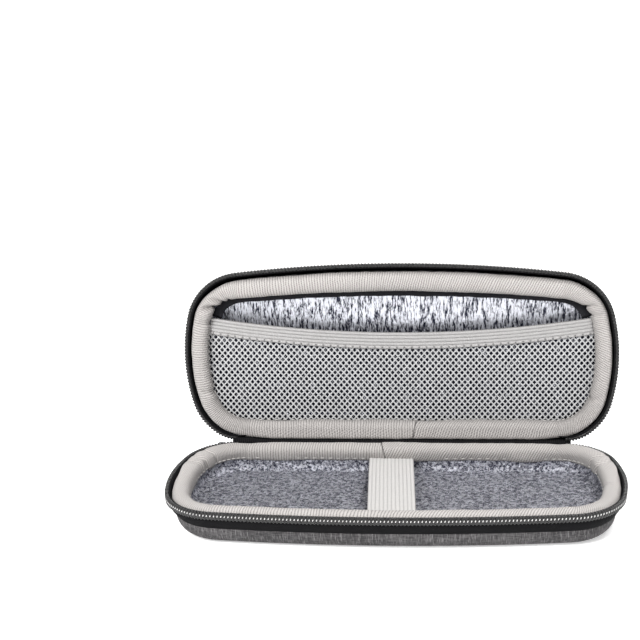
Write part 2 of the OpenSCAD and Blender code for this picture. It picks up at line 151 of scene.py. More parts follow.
def carried(section, closed=True, stop=pi / 2, floor=False, step=STEP):
    """A section of (inset, height) points carried round the line, with run and girth as its UV map."""
    bm = bmesh.new()
    girth = bm.verts.layers.float.new("girth")
    last = chain(bm, [(0, inset - spine_y, z) for inset, z in section], closed)
    ring = bm.verts[:]
    far = 0
    for before, vert in zip([ring[0]] + ring, ring):
        far += (vert.co - before.co).length
        vert[girth] = far
    around = far + (ring[0].co - ring[-1].co).length
    for cx, cy, r, first, end in ARCS:
        end = min(end, stop)
        if end <= first:
            break
        last = bmesh.ops.spin(bm, geom=last, cent=(cx, cy, 0), axis=(0, 0, 1), angle=end - first,
                              steps=max(2, round(r * (end - first) / step)))["geom_last"]
    if stop == pi / 2:
        count = round(corner_x / step)
        for i in range(count):
            last = drawn(bm, last, Matrix.Translation((-corner_x / count, 0, 0)))
    bmesh.ops.mirror(bm, geom=bm.verts[:] + bm.edges[:] + bm.faces[:], axis="X", merge_dist=1e-6)
    bmesh.ops.remove_doubles(bm, verts=bm.verts, dist=1e-6)
    if closed and stop < pi / 2:
        bmesh.ops.holes_fill(bm, edges=[e for e in bm.edges if e.is_boundary])
    if floor:
        middle = [e for e in bm.edges if e.is_boundary and max(v[girth] for v in e.verts) > far - 1e-6]
        bmesh.ops.contextual_create(bm, geom=middle)
    bmesh.ops.recalc_face_normals(bm, faces=bm.faces)
    uv = bm.loops.layers.uv.new("UVMap")
    for face in bm.faces:
        middle = face.calc_center_median()
        side = 1 if middle.x >= 0 else -1
        wraps = closed and max(v[girth] for v in face.verts) - min(v[girth] for v in face.verts) > around / 2
        for loop in face.loops:
            v = loop.vert
            turn = v[girth] + (around if wraps and v[girth] < around / 2 else 0)
            if len(face.verts) <= 4:
                loop[uv].uv = (side * on_line(v.co.x, v.co.y)[0], turn)
            else:
                loop[uv].uv = (v.co.x, v.co.y)
    return bm


def made(bm, name, finish, body=None):
    """The finished piece: smooth, with its material, riding on its body if it has one."""
    mesh = bpy.data.meshes.new(name)
    bm.to_mesh(mesh)
    bm.free()
    mesh.shade_smooth()
    mesh.materials.append(finish)
    piece = bpy.data.objects.new(name, mesh)
    bpy.context.scene.collection.objects.link(piece)
    if body:
        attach(piece, body)
    return piece


def to_lid(bm, half):
    """Leaves a base's piece where it is, and turns a lid's piece up into its place."""
    if half == "lid":
        bmesh.ops.transform(bm, matrix=TO_LID, verts=bm.verts)
        bmesh.ops.reverse_faces(bm, faces=bm.faces)


# Outer skin of each half: heather fabric with a linen look, laminated on moulded foam. It has a straight
# wall, a rounded edge and a flat face, and its rim ends under the zip's tape.
class Thread:
    """A value in a material: arithmetic on it adds Math nodes."""

    def __init__(self, stuff, socket):
        self.stuff, self.socket = stuff, socket

    def _math(self, operation, *values):
        return self.stuff.node("ShaderNodeMath", {"operation": operation}, dict(enumerate(values)))

    def __add__(self, other):
        return self._math("ADD", self, other)

    def __sub__(self, other):
        return self._math("SUBTRACT", self, other)

    def __rsub__(self, other):
        return self._math("SUBTRACT", other, self)

    def __mul__(self, other):
        return self._math("MULTIPLY", self, other)

    def __truediv__(self, other):
        return self._math("DIVIDE", self, other)

    __radd__ = __add__
    __rmul__ = __mul__

    def sine(self):
        return self._math("SINE", self)

    def size(self):
        return self._math("ABSOLUTE", self)

    def part(self):
        return self._math("FRACT", self)

    def over(self, limit, soft):
        """0 below the limit, 1 above it, over a soft stretch."""
        return self.stuff.node("ShaderNodeMapRange", {"interpolation_type": "SMOOTHSTEP"},
                               {"Value": self, "From Min": limit - soft, "From Max": limit + soft})


class Stuff:
    """A material while its nodes are laid."""

    def __init__(self, name, **constants):
        self.material = bpy.data.materials.new(name)
        self.material.use_nodes = True
        self.tree = self.material.node_tree
        self.shader = self.tree.nodes["Principled BSDF"]
        for socket, value in constants.items():
            self.shader.inputs[socket.replace("_", " ")].default_value = value

    def node(self, kind, settings, sockets, out=0):
        made_node = self.tree.nodes.new(kind)
        for setting, value in settings.items():
            if setting == "stops":
                ramp = made_node.color_ramp.elements
                while len(ramp) < len(value):
                    ramp.new(0.5)
                for stop, (where, shade) in zip(ramp, value):
                    stop.position, stop.color = where, (*shade, 1)
            else:
                setattr(made_node, setting, value)
        for socket, value in sockets.items():
            if isinstance(value, Thread):
                self.tree.links.new(value.socket, made_node.inputs[socket])
            else:
                made_node.inputs[socket].default_value = value
        return Thread(self, made_node.outputs[out])

    def place(self, on="Object", scale=(1, 1, 1)):
        coords = self.node("ShaderNodeTexCoord", {}, {}, on)
        return self.node("ShaderNodeMapping", {}, {"Vector": coords, "Scale": scale})

    def along(self, axis, on="UV"):
        coords = self.node("ShaderNodeTexCoord", {}, {}, on)
        return self.node("ShaderNodeSeparateXYZ", {}, {"Vector": coords}, axis)

    def noise(self, scale, detail=2.0, rough=0.5, on="Object", size=1.0):
        sockets = {"Vector": self.place(on, scale), "Scale": size, "Detail": detail, "Roughness": rough}
        return self.node("ShaderNodeTexNoise", {}, sockets)

    def mix(self, factor, a, b):
        return self.node("ShaderNodeMix", {"data_type": "RGBA"}, {0: factor, 6: a, 7: b}, 2)

    def wear(self, colour=None, height=None, depth=0.1 * MM, rough=None):
        """Joins the colour, the roughness and the relief to the shader."""
        for socket, value in (("Base Color", colour), ("Roughness", rough)):
            if value is not None:
                self.tree.links.new(value.socket, self.shader.inputs[socket])
        if height is not None:
            bump = self.node("ShaderNodeBump", {}, {"Height": height, "Distance": depth, "Strength": 1.0})
            self.tree.links.new(bump.socket, self.shader.inputs["Normal"])
        return self.material


RIM_Z = 7.9 * MM
SKIN_INSET = 4.2 * MM
EDGE_R = 7.5 * MM
FACE_INSET = 24 * MM
SKIN_T = 1.0 * MM
HEATHER_DARK = (0.036, 0.035, 0.036, 1)
HEATHER_MID = (0.092, 0.088, 0.09, 1)
HEATHER_PALE = (0.19, 0.183, 0.185, 1)


def heather(name):
    """Yarns of three greys, crossing at right angles."""
    stuff = Stuff(name, Roughness=0.92, Specular_IOR_Level=0.2)
    warp = stuff.noise((260, 2300, 2300), 3, 0.6)
    weft = stuff.noise((2300, 260, 260), 3, 0.6)
    patches = stuff.noise((60, 60, 60), 2)
    yarn = warp * 0.5 + weft * 0.5
    shade = stuff.mix((yarn + (patches - 0.5) * 0.25).over(0.49, 0.09), HEATHER_DARK, HEATHER_MID)
    shade = stuff.mix(weft.over(0.62, 0.05) * 0.6, shade, HEATHER_PALE)
    return stuff.wear(shade, yarn, 0.3 * MM)


skin_section = [(SKIN_INSET + SKIN_T, RIM_Z), (SKIN_INSET, RIM_Z)]
skin_section += arc(SKIN_INSET + EDGE_R, EDGE_R, EDGE_R, 180, 270, 10) + [(FACE_INSET, 0)]
skin_finish = heather("heather_linen")
for half in HALVES:
    bm = carried(skin_section, closed=False, floor=True)
    to_lid(bm, half)
    skin = made(bm, half + "_outer_skin", skin_finish, half)
    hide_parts(half + "_skin", half + "_foam")

# Lining of each half: thin silver cloth over the foam, crinkled by the moulding, with its edge under the
# binding's hem. In the lid its creases run up and down, and in the base they are short and lie every way.
HEM_Z = 10.3 * MM
LINING_INSET = 9.3 * MM
LINING_R = 2.6 * MM
FOLD_H = 0.7 * MM
LINING_FLOOR = {"base": 5.7 * MM, "lid": 4.1 * MM}


def smooth(value):
    value = min(1, max(0, value))
    return value * value * (3 - 2 * value)


def silver(name, creases, fine, bare, soft, dark, pale, pocket_shade=0):
    stuff = Stuff(name, Metallic=0.8, Roughness=0.33)
    crease = stuff.noise(creases, 3, 0.65)
    speck = stuff.noise(fine, 2, 0.6)
    # Below 62 mm up the lid, the last argument pushes the mix towards the dark colour: painted shade in the
    # pocket behind the net.
    flat = 1 - stuff.along(2, "Object").over(62 * MM, 7 * MM) if pocket_shade else 0
    # The dark and pale colours follow the crease and speck noise: painted shade in the creases and painted
    # highlights on the crinkles of the silver cloth.
    shade = stuff.mix((crease * 0.6 + speck * 0.4 - flat * pocket_shade).over(bare, soft), dark, pale)
    return stuff.wear(shade, crease + speck * 0.5, 0.85 * MM)


# The base's copy has a dimmer pale colour than the lid's copy of the same cloth: painted shade on the base's
# lining.
lining_finish = {
    "base": silver("silver_lining_base", (800, 800, 800), (1900, 1900, 1900), 0.51, 0.11,
                   (0.035, 0.037, 0.055, 1), (0.58, 0.585, 0.64, 1)),
    "lid": silver("silver_lining_lid", (1000, 230, 200), (2400, 700, 600), 0.48, 0.07,
                  (0.02, 0.022, 0.04, 1), (0.80, 0.81, 0.88, 1), 0.11),
}
for half in HALVES:
    floor_z = LINING_FLOOR[half]
    section = [(LINING_INSET - 0.4 * MM, HEM_Z + 1.2 * MM), (LINING_INSET, HEM_Z - 0.5 * MM)]
    section += arc(LINING_INSET + LINING_R, floor_z + LINING_R, LINING_R, 180, 270, 6)
    section += [(inset * MM, floor_z) for inset in (13.5, 15.5, 18, 21, 24)]
    bm = carried(section, closed=False, floor=True)
    bm.normal_update()
    for vert in bm.verts:
        run, inset = on_line(*vert.co.xy)
        folds = max(0, noise.noise(Vector((run * 260, inset * 60, floor_z * 900)))) * 1.4
        folds += noise.noise(vert.co * 180) * 0.4
        near_wall = smooth((23 * MM - inset) / (8 * MM))
        off_wall = smooth((inset - 9.6 * MM) / (2 * MM))
        vert.co += Vector((0, 0, 1)) * (folds * FOLD_H * near_wall * off_wall)
    to_lid(bm, half)
    bmesh.ops.reverse_faces(bm, faces=bm.faces)
    lining = made(bm, half + "_silver_lining", lining_finish[half], half)
    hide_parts(half + "_lining")

# Binding: knit tape wrapped over a soft roll on each rim, and sewn down inside with one row of long
# stitches. Its ends overlap in a slanted seam beside the hinge, past which its ribs lean over. It stands a
# little further in along the lid's front, where the zip's tape shows beside it.
BINDING_INSET = 2.9 * MM
BINDING_IN = 10.2 * MM
ROLL_R = 2.9 * MM
TOP_Z = 16.35 * MM
RIB_PITCH = 1.15 * MM
RIB_LEAN = {"base": -0.5, "lid": 0.5}
SEAM_X = {"base": -9 * MM, "lid": 5 * MM}
SEAM_STEP = 0.35 * MM
FRONT_SHIFT = (1.2 * MM, 2.6 * MM)
HINGE_ROLL_R = 1.6 * MM
HINGE_INSET = 2.35 * MM
# Gathers at the corners: run, depth, lean and half width
GATHERS = {
    "base": [
        (-143 * MM, 1.3 * MM, 0.5, 1.7 * MM), (-151 * MM, 0.9 * MM, -0.3, 1.3 * MM),
        (-136 * MM, 0.7 * MM, 0.2, 1.2 * MM), (139 * MM, 1.2 * MM, -0.5, 1.6 * MM),
        (146 * MM, 0.9 * MM, 0.3, 1.3 * MM), (112 * MM, 0.6 * MM, 0.6, 1.3 * MM),
    ],
    "lid": [
        (-94 * MM, 3.0 * MM, 0.9, 1.9 * MM), (-86 * MM, 2.0 * MM, 0.7, 1.4 * MM),
        (-80 * MM, 1.0 * MM, 0.4, 1.3 * MM), (92 * MM, 1.7 * MM, -0.7, 1.5 * MM),
        (99 * MM, 1.0 * MM, -0.3, 1.2 * MM), (141 * MM, 1.0 * MM, 0.4, 1.5 * MM),
        (-138 * MM, 1.0 * MM, -0.4, 1.5 * MM), (-104 * MM, 0.8 * MM, 0.2, 1.2 * MM),
    ],
}
# At the base's back corners the roll leans out over the coil
LEAN_OUT = 2.9 * MM
SLIM = 0.8
KNIT_PALE = (0.47, 0.445, 0.43, 1)
KNIT_SHADE = (0.29, 0.275, 0.265, 1)
KNIT_DEEP = (0.045, 0.042, 0.04, 1)
outer_roll = arc(BINDING_INSET + ROLL_R, TOP_Z - ROLL_R, ROLL_R, 180, 90, 8)
inner_roll = arc(BINDING_IN - ROLL_R, TOP_Z - ROLL_R, ROLL_R, 90, 0, 8)
binding_section = [(7.2 * MM, 8.3 * MM), (4.8 * MM, 8.0 * MM), (3.7 * MM, 9.8 * MM), (3.05 * MM, 11.6 * MM)]
binding_section += outer_roll + inner_roll
binding_section += [(BINDING_IN, 12.1 * MM), (BINDING_IN - 0.1 * MM, 11.2 * MM)]
binding_section += [(BINDING_IN - 0.3 * MM, HEM_Z + 0.1 * MM), (9.5 * MM, HEM_Z), (8.2 * MM, HEM_Z)]


def ease_front(bm, half, depth=None):
    """Moves what lies along the lid's front further in."""
    for vert in bm.verts if half == "lid" else []:
        inward = depth
        if depth is None:
            inward = (on_line(*vert.co.xy)[1] - BINDING_INSET) / (BINDING_IN - BINDING_INSET)
        shift = FRONT_SHIFT[0] + (FRONT_SHIFT[1] - FRONT_SHIFT[0]) * min(1, max(0, inward))
        vert.co.y += shift * smooth((-18 * MM - vert.co.y) / (14 * MM))


def knit(name, half):
    stuff = Stuff(name, Roughness=0.88, Specular_IOR_Level=0.2, Sheen_Weight=0.08, Sheen_Roughness=0.45)
    run, girth = stuff.along(0), stuff.along(1)
    x, y, z = (stuff.along(axis, "Object") for axis in range(3))
    hinge_side = y.over(0, 8 * MM) if half == "base" else 1 - z.over(50 * MM, 8 * MM)
    past_seam = (x - girth * 0.25).over(SEAM_X[half] - 3 * MM, 0.12 * MM)
    leaning = x.over(0, 40 * MM) * (1 - hinge_side) + past_seam * hinge_side
    wobble = stuff.noise((150, 150, 150), 2)
    phase = (run + girth * leaning * RIB_LEAN[half] + wobble * (1.6 * MM)) / RIB_PITCH
    rib = (phase * pi).sine().size()
    loops = (girth * (pi / (0.7 * MM)) + phase * (pi / 2)).sine().size()
    height = rib * 0.7 + loops * 0.3
    fuzz = stuff.noise((2500, 2500, 2500), 2, 0.6)
    # Painted shade: past 17 mm of girth, on the rim's inner side, the knit turns towards KNIT_SHADE.
    inside = girth.over(17 * MM, 5 * MM)
    shade = stuff.mix(inside * 0.75 + wobble * 0.15, KNIT_PALE, KNIT_SHADE)
    from_seam = (x - girth * 0.25 - (SEAM_X[half] - 3 * MM)) / (0.5 * MM)
    seam = (1 - from_seam.size().over(0.7, 0.3)) * hinge_side
    # Painted shade: the grooves between the ribs turn towards KNIT_DEEP; the seam line turns towards it as
    # well.
    groove = (1 - (height * 0.85 + fuzz * 0.35).over(0.5, 0.36)) * 0.72 + seam * 0.5
    return stuff.wear(stuff.mix(groove, shade, KNIT_DEEP), height + fuzz * 0.4, 0.35 * MM)


for half in HALVES:
    bm = carried(binding_section, step=0.9 * MM)
    bm.normal_update()
    for vert in bm.verts:
        run, inset = on_line(*vert.co.xy)
        run = math.copysign(run, vert.co.x)
        if vert.co.y > spine_y - BINDING_INSET - ROLL_R - 0.01 * MM and vert.co.z > 11 * MM:
            fuller = smooth((corner_x + 4 * MM - abs(vert.co.x)) / (14 * MM))
            small = HINGE_ROLL_R / ROLL_R
            tight_y = (spine_y - HINGE_INSET - HINGE_ROLL_R
                       + small * (vert.co.y - spine_y + BINDING_INSET + ROLL_R))
            tight_z = TOP_Z - HINGE_ROLL_R + small * (vert.co.z - TOP_Z + ROLL_R)
            vert.co.y += (tight_y - vert.co.y) * fuller
            vert.co.z += (tight_z - vert.co.z) * fuller
        if half == "base" and vert.co.z > 11 * MM:
            near_back = smooth((vert.co.y + 4 * MM) / (16 * MM))
            near_back *= smooth((abs(vert.co.x) - corner_x) / (8 * MM))
            outer = smooth((BINDING_INSET + 2 * ROLL_R - inset) / (3 * MM))
            over_roll = 0.12 + SLIM * smooth((inset - BINDING_INSET) / ROLL_R)
            vert.co -= spot(run).col[1].to_3d() * (LEAN_OUT * near_back * outer * over_roll)
        lift = noise.noise(vert.co * 55 + Vector((0, 0, 3 if half == "lid" else 0))) * 0.25 * MM
        if vert.co.z < 13 * MM and inset > 8 * MM:
            lift += noise.noise(Vector((run * 45, 7, 2 if half == "lid" else 0))) * 0.9 * MM
        lift += noise.noise(vert.co * 240) * (0.3 if vert.co.z < 13 * MM else 0.12) * MM
        if vert.co.y > spine_y - 12 * MM and half == "base":
            past_seam = smooth((vert.co.x - SEAM_X[half]) / (1 * MM))
            lift += SEAM_STEP * past_seam * smooth((14 * MM - vert.co.x) / (18 * MM))
        for place, depth, lean, spread in GATHERS[half]:
            off = (run - place - lean * (inset - 6.5 * MM)) / spread
            lift -= depth * math.exp(-off * off) * smooth((inset - 4 * MM) / (3 * MM))
        vert.co += vert.normal * lift
    bmesh.ops.smooth_vert(bm, verts=bm.verts, factor=0.2, use_axis_x=True, use_axis_y=True, use_axis_z=True)
    for vert in bm.verts:
        vert.co.z = min(vert.co.z, HALF_H - 0.08 * MM)
    ease_front(bm, half)
    to_lid(bm, half)
    binding = made(bm, half + "_knit_binding", knit(half + "_knit", half), half)
    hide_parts(half + "_binding", half + "_rim_pad")

# Binding's stitches: one row of long stitches inside each rim, and on each coil a row of light thread between
# the teeth that holds it to its tape, made pale as painted glints on the coil's loops. Each stitch is a short
# rounded piece of thread.
STITCH_PITCH = 3.6 * MM
STITCH_SIZE = (2.2 * MM, 0.5 * MM, 0.42 * MM)
STITCH_Z = 11.5 * MM
LID_FRONT_Y = -16 * MM
COIL_THREAD_PITCH = 1.45 * MM
COIL_THREAD_SIZE = (0.46 * MM, 0.5 * MM, 1.0 * MM)
COIL_THREAD_TURN = radians(22)
COIL_THREAD_END = 20 * MM
SINK = 0.5 * MM


def sink_back(bm, half):
    """Lowers what lies on the base's zip line a little at the corner away from the slider."""
    for vert in bm.verts if half == "base" else []:
        near_back = smooth((vert.co.y + 4 * MM) / (16 * MM))
        vert.co.z -= SINK * near_back * smooth((vert.co.x - corner_x) / (8 * MM))


def thread(name, share, pale, dark):
    """Twisted thread, in which the dark colour takes up to a share."""
    stuff = Stuff(name, Roughness=0.6)
    twist = stuff.noise((4000, 4000, 4000), 1)
    return stuff.wear(stuff.mix(twist * share, (*pale, 1), (*dark, 1)), twist, 0.05 * MM)


def stitched(name, places, size, colour, half, slot):
    """One mesh of thread stitches of a size, each set in its place."""
    finish = thread(name + "_thread", 0.5, colour, [c * 0.5 for c in colour])
    bm = bmesh.new()
    for place in places:
        matrix = place @ Matrix.Diagonal((*size, 1))
        bmesh.ops.create_icosphere(bm, subdivisions=1, radius=0.5, matrix=matrix)
    if slot == "zip_tape":
        sink_back(bm, half)
    to_lid(bm, half)
    return made(bm, name, finish, half)


for half in HALVES:
    count = int(half_run / STITCH_PITCH)
    places = [spot(i * STITCH_PITCH, BINDING_IN - 0.12 * MM, STITCH_Z) for i in range(-count, count + 1)]
    if half == "lid":
        places = [place for place in places if place.translation.y > LID_FRONT_Y]
    stitched(half + "_binding_stitches", places, STITCH_SIZE, (0.55, 0.53, 0.51), half, "knit_binding")
# The coil's thread is light: a real sewing thread, made pale as painted glints on the coil's loops.
count = int((arc_run - COIL_THREAD_END) / COIL_THREAD_PITCH)
for half in HALVES:
    turned = Matrix.Rotation(COIL_THREAD_TURN, 4, "Y")
    places = [spot((i + 0.5) * COIL_THREAD_PITCH, 0.38 * MM, 14.9 * MM) @ turned for i in range(-count, count)]
    stitched(half + "_coil_thread", places, COIL_THREAD_SIZE, (0.75, 0.74, 0.73), half, "zip_tape")

# Zip tape of each half: black woven tape, sewn to the skin's rim and leaning out to the coil.
TAPE_STOP = radians(90 - 2)
TUCK_RUN = CORNER_R * radians(22)
COIL_GAP = 13
COIL_STOP = arc_run - CORNER_R * radians(COIL_GAP)
TUCK_IN = 1.1 * MM
TAPE_WEAVE = 0.9 * MM
TAPE_DARK = (0.004, 0.004, 0.0045, 1)
TAPE_PALE = (0.012, 0.012, 0.013, 1)
tape_section = [(SKIN_INSET, RIM_Z), (3.2 * MM, 9.1 * MM), (2.25 * MM, 10.6 * MM), (1.75 * MM, 12.2 * MM),
                (1.7 * MM, 15.9 * MM), (2.2 * MM, 15.9 * MM), (2.25 * MM, 12.2 * MM), (2.75 * MM, 10.8 * MM),
                (3.7 * MM, 9.3 * MM), (4.7 * MM, RIM_Z)]


def black_cloth(stuff, across):
    """Black cloth whose rows follow a value in its material."""
    rows = (across * (2 * pi / TAPE_WEAVE)).sine()
    return stuff.wear(stuff.mix(rows.over(0, 0.8), TAPE_DARK, TAPE_PALE), rows, 0.08 * MM)


def tuck_ends(bm):
    """Draws both ends of a zip piece in beside the hinge."""
    for vert in bm.verts:
        near_end = max(0, on_line(*vert.co.xy)[0] / TUCK_RUN - COIL_STOP / TUCK_RUN + 1)
        vert.co.y -= near_end ** 2 * TUCK_IN


tape_cloth = Stuff("black_tape", Roughness=0.85, Specular_IOR_Level=0.05)
tape_finish = black_cloth(tape_cloth, tape_cloth.along(0) + tape_cloth.along(1))
for half in HALVES:
    bm = carried(tape_section, stop=TAPE_STOP)
    tuck_ends(bm)
    sink_back(bm, half)
    to_lid(bm, half)
    tape = made(bm, half + "_tape", tape_finish, half)
    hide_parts(half + "_zip_tape")

# Zip coil of each half: one nylon coil sewn along the tape's outer face. Each turn shows as a slanted bar
# with a thicker head at the parting plane.
TOOTH_PITCH = 1.45 * MM
TOOTH_SIZE = (0.78 * MM, 1.45 * MM, 3.2 * MM)
TOOTH_LEAN = radians(9)
TOOTH_Z = 14.72 * MM
TOOTH_BEVEL = 0.24 * MM
COIL_IN = 0.95 * MM
core_section = [(0.65 * MM, 13.4 * MM), (0.48 * MM, 14 * MM), (0.48 * MM, 15.5 * MM), (0.8 * MM, 15.95 * MM),
                (1.6 * MM, 15.95 * MM), (1.8 * MM, 15.5 * MM), (1.8 * MM, 13.2 * MM)]
nylon = Stuff("black_nylon", Specular_IOR_Level=0.35)
shine = nylon.noise((900, 900, 900), 1)
nylon_finish = nylon.wear(nylon.mix(shine, (0.008, 0.008, 0.0085, 1), (0.028, 0.027, 0.027, 1)),
                          rough=shine * 0.3 + 0.15)
tooth_bm = bmesh.new()
bmesh.ops.create_cube(tooth_bm, size=1.0)
bmesh.ops.scale(tooth_bm, vec=TOOTH_SIZE, verts=tooth_bm.verts)
bmesh.ops.bevel(tooth_bm, geom=tooth_bm.edges[:], offset=TOOTH_BEVEL, affect="EDGES", segments=1,
                profile=0.5, material=-1)
bmesh.ops.scale(tooth_bm, vec=(1.3, 1.08, 1), verts=[v for v in tooth_bm.verts if v.co.z > 1.0 * MM])
tooth = bpy.data.meshes.new("tooth")
tooth_bm.to_mesh(tooth)
tooth_bm.free()
for half in HALVES:
    core_bm = carried(core_section, stop=radians(90 - COIL_GAP))
    tuck_ends(core_bm)
    core = bpy.data.meshes.new("core")
    core_bm.to_mesh(core)
    core_bm.free()
    bm = bmesh.new()
    count = int(COIL_STOP / TOOTH_PITCH)
    for i in range(-count + (1 if half == "lid" else 0), count + 1):
        run = i * TOOTH_PITCH
        tuck = max(0, (abs(run) - COIL_STOP + TUCK_RUN) / TUCK_RUN)
        bm.from_mesh(tooth)
        bm.verts.ensure_lookup_table()
        place = spot(run, COIL_IN + tuck * tuck * TUCK_IN, TOOTH_Z) @ Matrix.Rotation(TOOTH_LEAN, 4, "Y")
        bmesh.ops.transform(bm, matrix=place, verts=bm.verts[-len(tooth.vertices):])
    bm.from_mesh(core)
    bpy.data.meshes.remove(core)
    sink_back(bm, half)
    to_lid(bm, half)
    coil = made(bm, half + "_coil", nylon_finish, half)
    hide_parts(half + "_zip_coil")
bpy.data.meshes.remove(tooth)

# Elastic strap: off-white ribbed elastic across the base, with both ends sewn in under the binding's hem.
strap_low, strap_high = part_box("elastic_strap")
STRAP_T = 1.0 * MM
STRAP_RISE = 1.5 * MM
STRAP_RIBS = 12
STRAP_TUCK = 1.2 * MM
STRAP_TURN = 0.066
STRAP_EXTRA = 1.4 * MM
STRAP_SHIFT = 0.8 * MM
strap_w = strap_high.x - strap_low.x + STRAP_EXTRA
chord = (strap_high.y - strap_low.y) / 2
strap_r = (chord * chord + STRAP_RISE * STRAP_RISE) / (2 * STRAP_RISE)
strap_turn = math.asin((chord + STRAP_TUCK) / strap_r)
strap_axis = Vector((0, (strap_low.y + strap_high.y) / 2, strap_low.z + STRAP_RISE - strap_r))
elastic = Stuff("off_white_elastic", Roughness=0.8, Sheen_Weight=0.2)
weft = (elastic.along(1, "Object") * (2 * pi / (0.8 * MM))).sine()
rib_place = elastic.along(0, "Object") + elastic.along(1, "Object") * STRAP_TURN
rib_phase = (rib_place - strap_low.x + STRAP_SHIFT) * (pi * STRAP_RIBS / strap_w)
rib_groove = 1 - rib_phase.sine().size().over(0.28, 0.28)
# Painted shade: the grooves between the ribs are mixed towards the dark colour; the weft and the noise are the
# elastic's own tone.
elastic_finish = elastic.wear(
    elastic.mix(rib_groove * 0.22 + weft * 0.05 + elastic.noise((900, 900, 900)) * 0.25,
                (0.53, 0.515, 0.50, 1), (0.22, 0.215, 0.21, 1)), weft - rib_groove * 2, 0.12 * MM)
bm = bmesh.new()
ribs = 2 * STRAP_RIBS
top = [(i / ribs, STRAP_T - (0 if i % 2 else 0.16 * MM)) for i in range(ribs + 1)]
outline = [(0, 0.15 * MM)] + top + [(1, 0.15 * MM), (0.98, 0), (0.02, 0)]
ring = chain(bm, [(strap_low.x + share * strap_w, 0, strap_r + h) for share, h in outline])
bmesh.ops.rotate(bm, verts=bm.verts, cent=(0, 0, 0), matrix=Matrix.Rotation(strap_turn, 3, "X"))
bmesh.ops.translate(bm, verts=bm.verts, vec=strap_axis)
bmesh.ops.spin(bm, geom=ring, cent=strap_axis, axis=(1, 0, 0), angle=-2 * strap_turn, steps=40)
shut(bm)
for vert in bm.verts:
    vert.co.x -= STRAP_TURN * vert.co.y + STRAP_SHIFT
strap = made(bm, "ribbed_elastic_strap", elastic_finish, "base")
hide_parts("elastic_strap")

# Lid pocket: a net of light grey cord over the hinge side. Its edges are caught under the binding, and its
# mouth is held by the band.
NET_Z = 10.85 * MM
NET_INSET = 9.7 * MM
HOLE_X = 2.55 * MM
HOLE_Y = 2.94 * MM
CORD_T = 0.27 * MM
BAND_SAG = 6.6 * MM
BAND_Y = 57 * MM
BAND_W = 7.5 * MM
band_chord = LENGTH / 2 - BINDING_IN - 4.3 * MM + 2.5 * MM
band_r = (band_chord * band_chord + BAND_SAG * BAND_SAG) / (2 * BAND_SAG)
band_turn = math.asin(band_chord / band_r)
band_centre_y = spine_y - BAND_Y + BAND_SAG - band_r


def in_pocket(x, y):
    """Whether a spot of the lid, drawn as a base, lies under the net."""
    if math.hypot(x, y - band_centre_y) < band_r + 3 * MM:
        return False
    if abs(x) < corner_x:
        return y < spine_y - NET_INSET
    if y > back_corner_y:
        return math.hypot(abs(x) - corner_x, y - back_corner_y) < CORNER_R - NET_INSET
    return math.hypot(abs(x) - LENGTH / 2 + end_r, y - end_y) < end_r - NET_INSET


net_stuff = Stuff("pocket_cord", Roughness=0.8, Sheen_Weight=0.2)
net_finish = net_stuff.wear(
    net_stuff.mix(net_stuff.noise((1800, 1800, 1800)).over(0.5, 0.25),
                  (0.32, 0.325, 0.33, 1), (0.54, 0.54, 0.54, 1)),
    net_stuff.noise((3000, 3000, 3000)), 0.1 * MM)
bm = bmesh.new()
reach = 46
bmesh.ops.create_grid(bm, x_segments=2 * reach, y_segments=2 * reach, size=reach)
lattice = Matrix(((HOLE_X / 2, HOLE_X / 2, 0, 0), (HOLE_Y / 2, -HOLE_Y / 2, 0, 12 * MM),
                  (0, 0, 1, NET_Z), (0, 0, 0, 1)))
bmesh.ops.transform(bm, matrix=lattice, verts=bm.verts)
outside = [f for f in bm.faces if not in_pocket(f.calc_center_median().x, f.calc_center_median().y)]
bmesh.ops.delete(bm, geom=outside, context="FACES")
cells = bm.faces[:]
bmesh.ops.inset_individual(bm, faces=cells, thickness=CORD_T, use_even_offset=True)
corners = list({v for f in cells for v in f.verts})
bmesh.ops.delete(bm, geom=cells, context="FACES_ONLY")
bmesh.ops.bevel(bm, geom=corners, offset=0.22 * MM, affect="VERTICES", segments=1, profile=0.5, material=-1)
for vert in bm.verts:
    vert.co.z += noise.noise(vert.co * 70) * 0.25 * MM
to_lid(bm, "lid")
net = made(bm, "net_pocket", net_finish, "lid")
solid = net.modifiers.new("cord", "SOLIDIFY")
solid.thickness = 0.4 * MM
solid.offset = 0
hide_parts("pocket_net")

# Pocket band: ribbed light grey elastic along the net's mouth. It sags between its two ends, which are sewn
# in under the binding, and a row of stitches holds the net to its lower edge.
BAND_RIBS = 5
BAND_T = 1.0 * MM
band_z = NET_Z + 0.25 * MM
HOLE_PITCH = 3.2 * MM
grey_stuff = Stuff("grey_elastic", Roughness=0.8)
picks = (grey_stuff.along(0) * (2 * pi / (0.7 * MM))).sine()
band_groove = 1 - (grey_stuff.along(1) * (pi * BAND_RIBS / BAND_W)).sine().size().over(0.3, 0.3)
hole_off = ((grey_stuff.along(0) / HOLE_PITCH).part() - 0.5) * HOLE_PITCH
hole_up = grey_stuff.along(1) - (BAND_W - 0.75 * MM)
hole = 1 - (hole_off * hole_off + hole_up * hole_up).over((0.42 * MM) ** 2, (0.25 * MM) ** 2)
